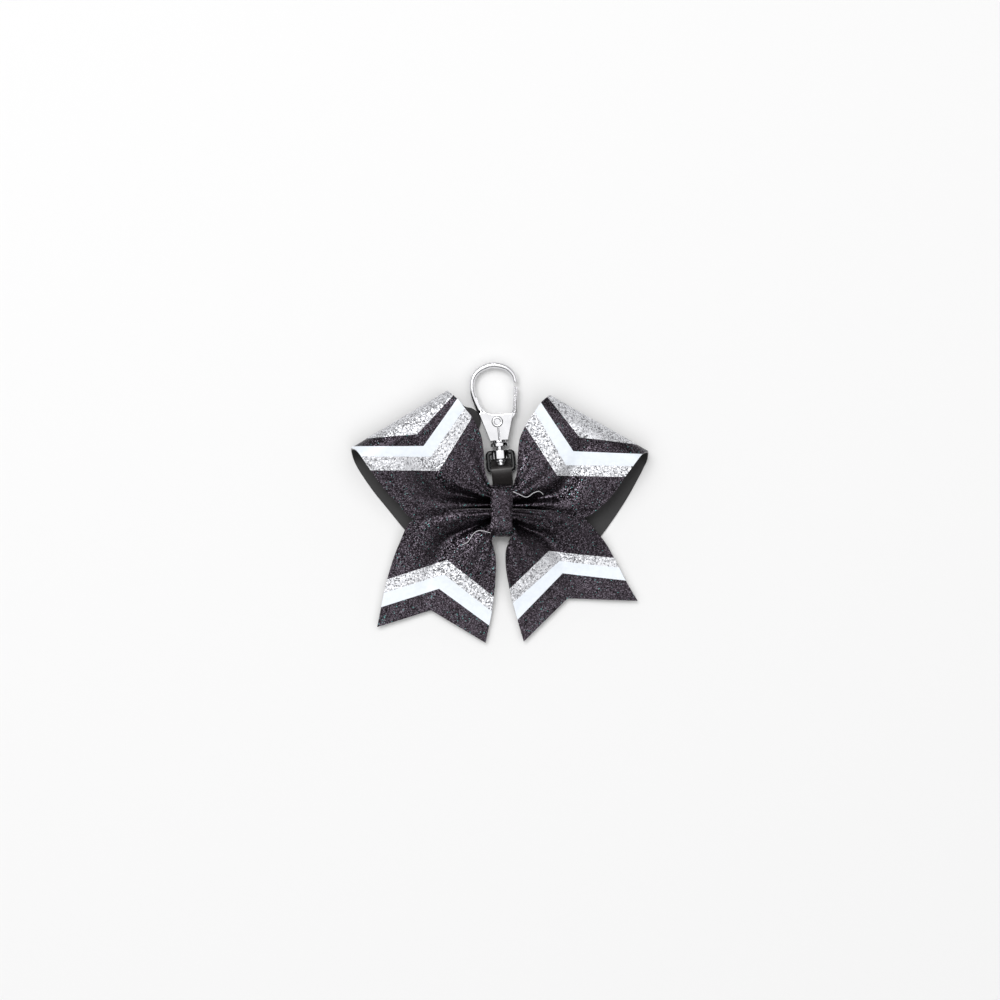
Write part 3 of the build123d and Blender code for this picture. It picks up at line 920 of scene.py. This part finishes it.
# The rivet: a tube with a rolled head on each face of the shield
rivet_profile = [
    (0.02, 0.3), (0.85, 0.3), (0.85, 2.2), (0.95, 2.42), (1.15, 2.6), (1.45, 2.62), (1.75, 2.5),
    (1.88, 2.3), (1.6, 2.2), (1.35, 2.1), (1.35, -2.1), (1.6, -2.2), (1.88, -2.3), (1.7, -2.55),
    (1.2, -2.62), (0.02, -2.62),
]
rivet = turned("rivet", rivet_profile, "z", [chrome], middle=(0, rivet_y, 0))
in_clasp(rivet, "hook", "chrome", "gate_rivet")

# The pin that joins hook and eye, its head inside the eye, and the washer
pin_profile = rounded(1.4, 2.55, 1.2, 0.35)[:-1] + [(0.9, 2.55), (1.2, 2.75), (1.2, 9.0), (0.02, 9.0)]
in_clasp(turned("pin", pin_profile, "y", [chrome]), "hook", "chrome", "swivel_pin")
washer = turned("washer", rounded(2.45, 3.4, 1.65, 0.3), "y", [chrome])
in_clasp(washer, "hook", "chrome", "swivel_washer")

# The eye: a barrel, and a wire frame painted near black, which is painted shade and dark reflection standing
# in for its chrome
barrel = turned("eye_barrel", rounded(3.45, 6.55, 2.95, 0.3), "y", [chrome])
in_clasp(barrel, "eye", "chrome", "swivel_eye")
corner = 0.9
half_eye = 4.15
eye_top = 5.75
half_wire = 0.75
frame_line = [(-1.5, eye_top)]
for x, y, first in ((corner - half_eye, eye_top - corner, 90), (corner - half_eye, corner, 180),
                    (half_eye - corner, corner, 270), (half_eye - corner, eye_top - corner, 0)):
    for angle in range(first, first + 91, 10):
        frame_line.append((x + corner * cos(radians(angle)), y + corner * sin(radians(angle))))
frame_line.append((1.5, eye_top))
frame_line = respaced(np.array(frame_line), 120)
wire = swept("eye_frame", frame_line, [half_wire] * 120, half_wire, [black_metal], sides=20)
in_clasp(wire, "eye", None)  # the record gives the whole eye the chrome slot, so this part, painted dark as shade and reflection, names none

refinish(nodes["gate_spring"].data, spring_steel)


# ---- The strap: satin ribbon round the bar of the eye, slack in front of it, ends under the knot ----

strap_line = along(
    [(-16.6, -2.55), (-12, -2.55), (-8, -2.5), (-5.2, -1.7), (-2.6, -0.1), (-0.9, 0.85), (0.1, 1.02),
     (0.9, 0.55), (1.35, -0.5), (1.9, -1.55), (2.7, -2.1), (3.3, -2.35), (3.45, -2.6), (3.0, -2.82),
     (1.0, -2.86), (-6, -2.88), (-16.6, -2.88)],
    150,
)
strap_grid = []
for x in np.linspace(-strap_half_width, strap_half_width, 24):
    bulge = 0.12 * (1 - (x / strap_half_width) ** 2)
    row = []
    for y, z in strap_line:
        crown = bulge if z > -2.3 else 0
        row.append((clasp_origin + (clasp_x * x + clasp_y * y) * mm + Vector((0, 0, (z + crown) * mm))) / mm)
    strap_grid.append(np.array(row))
strap_grid = np.stack(strap_grid, axis=1)
if normals_of(strap_grid)[20, 12, 2] < 0:
    strap_grid = strap_grid[:, ::-1]
strap = shell("satin_strap", strap_grid, -0.12, 0.12, [black_satin] * 3)
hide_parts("strap")
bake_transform(strap)
